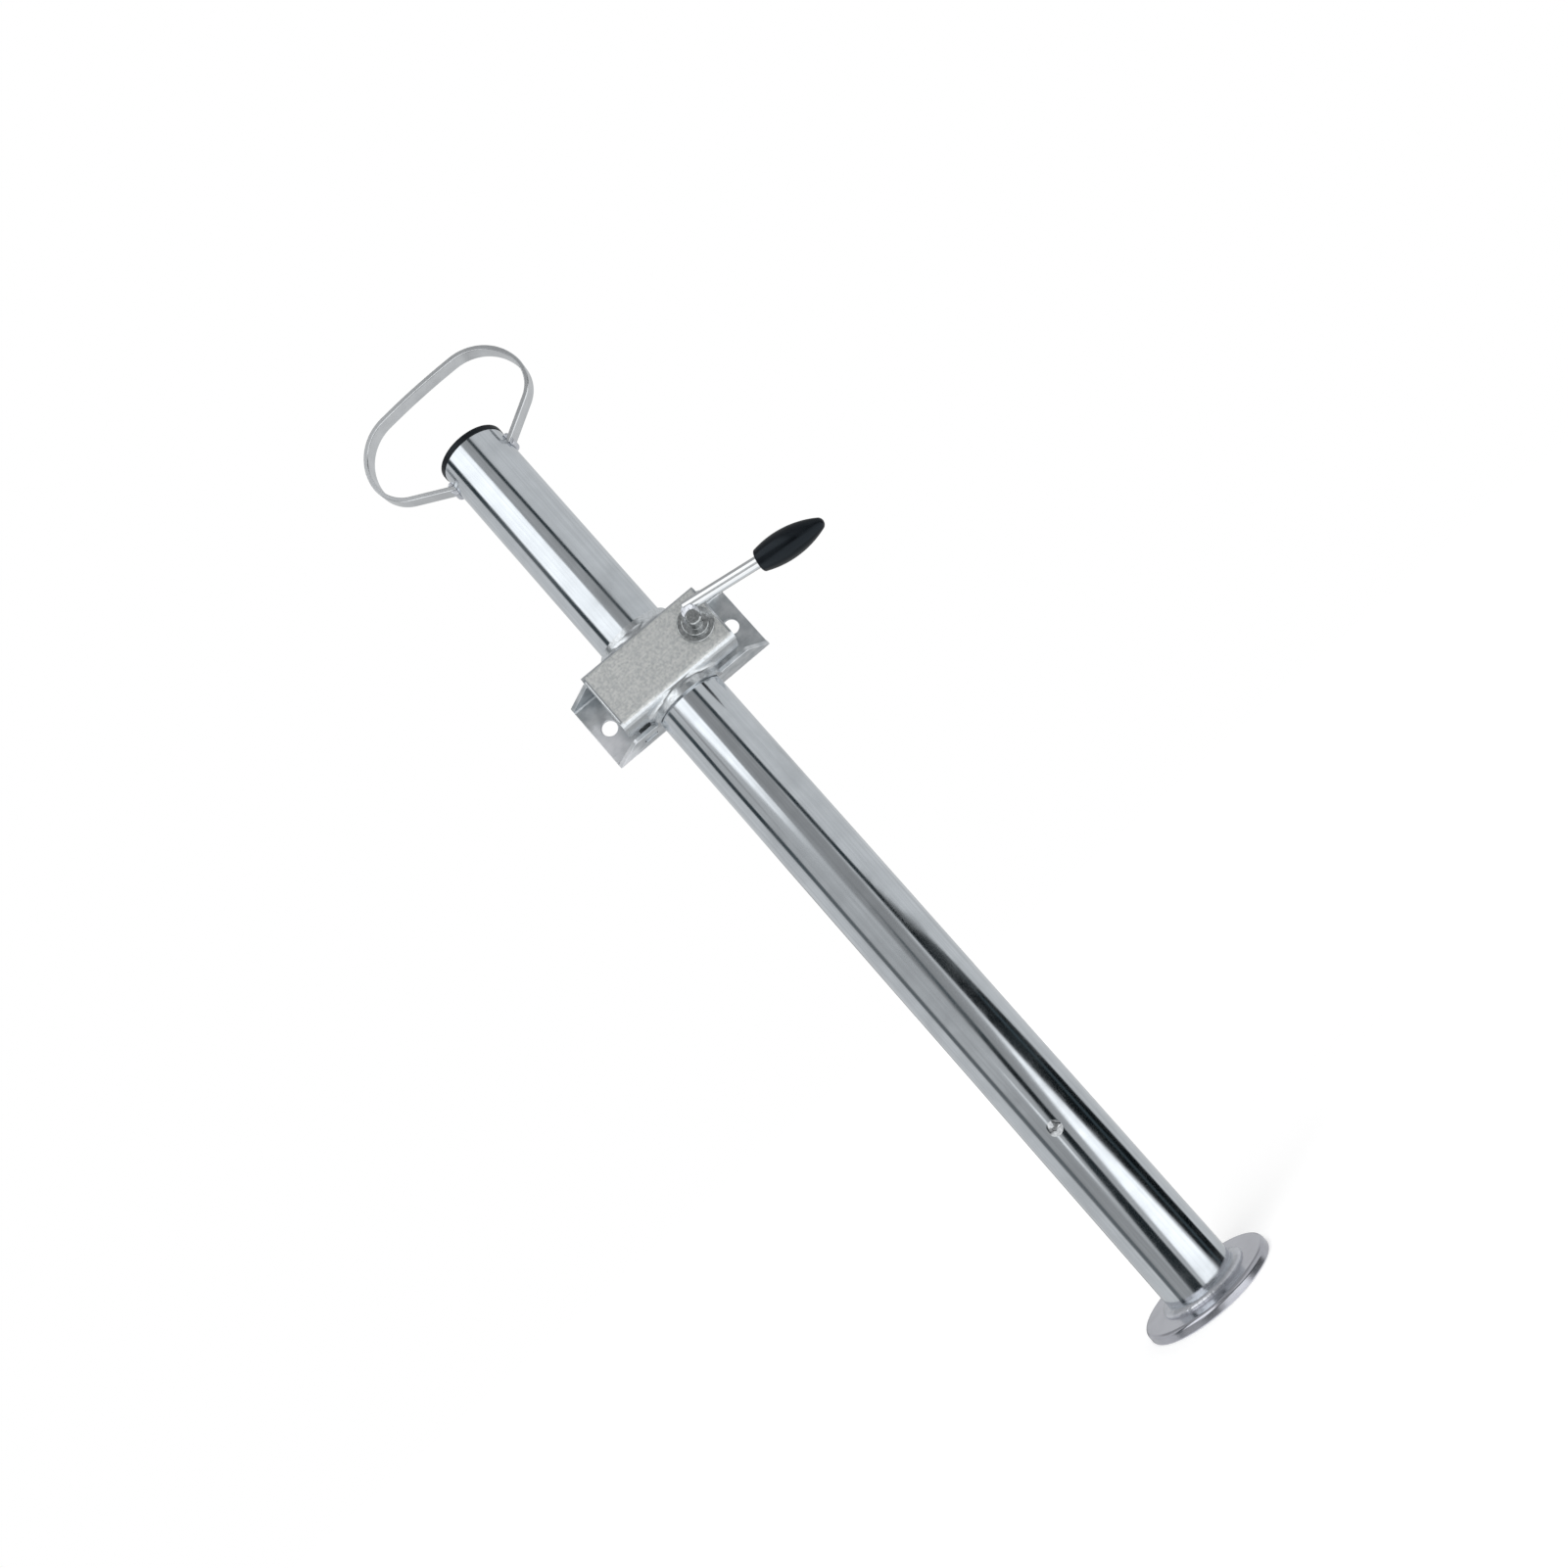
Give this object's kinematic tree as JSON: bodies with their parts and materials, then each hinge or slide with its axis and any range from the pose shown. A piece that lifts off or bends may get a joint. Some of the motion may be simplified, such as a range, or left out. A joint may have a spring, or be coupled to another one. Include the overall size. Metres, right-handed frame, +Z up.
{
  "type": "trailer prop stand",
  "caption": "Round steel prop leg with a flat foot and a loop handle, and a bolt-on pressed clamp that a lever screw tightens round the leg.",
  "frame": {"origin": "middle of the foot's underside, on the leg's axis", "axes": "+Z up the leg, -Y out of the clamp bar's front face, +X from the hooks towards the clamp screw"},
  "size_m": [0.1908, 0.1207, 0.7578],
  "materials": {
    "foot_zinc": "satin bright zinc plate",
    "weld_zinc": "zinc plate over a weld bead",
    "tube_zinc": "bright zinc plate with a faint blue cast",
    "cap_plastic": "black, soft sheen",
    "handle_zinc": "satin zinc plate",
    "rivet_steel": "plain bright steel",
    "bracket_zinc": "zinc plate, grey blue",
    "screw_zinc": "zinc plate",
    "bar_zinc": "dull zinc plate, lightly mottled",
    "rod_zinc": "bright zinc plate",
    "grip_plastic": "black moulded, soft sheen"
  },
  "bodies": {
    "leg": {"foot_plate": "foot_zinc", "foot_weld": "weld_zinc", "leg_tube": "tube_zinc", "end_cap": "cap_plastic", "pull_handle": "handle_zinc", "handle_weld_left": "weld_zinc", "handle_weld_right": "weld_zinc", "stop_rivet": "rivet_steel", "rivet_mandrel": "rivet_steel"},
    "bracket": {"back_bracket": "bracket_zinc", "clamp_nut": "screw_zinc"},
    "bar": {"clamp_bar": "bar_zinc"},
    "washer": {"clamp_washer": "screw_zinc"},
    "lever": {"clamp_screw": "screw_zinc", "lever_rod": "rod_zinc", "lever_weld": "weld_zinc", "lever_grip": "grip_plastic"}
  },
  "joints": [
    {"name": "leg_slide", "type": "slide", "parent": "leg", "child": "bracket", "axis": [0, 0, 1], "range_m": [-0.334, 0.15]},
    {"name": "washer_travel", "type": "slide", "parent": "bracket", "child": "washer", "axis": [0, -1, 0], "range_m": [0, 0.00263]},
    {"name": "lever_turn", "type": "hinge", "parent": "washer", "child": "lever", "pos_m": [0.032, -0.0305, 0.498], "axis": [0, -1, 0], "range_deg": [0, 540]},
    {"name": "bar_swing", "type": "hinge", "parent": "bracket", "child": "bar", "pos_m": [-0.033, 0.0123, 0.498], "axis": [0, 0, -1], "range_deg": [0, 1.86]}
  ],
  "couplings": [
    {"joint": "washer_travel", "follows": "lever_turn", "m_per_rad": 0.00027852},
    {"joint": "bar_swing", "follows": "lever_turn", "ratio": 0.0034259}
  ]
}
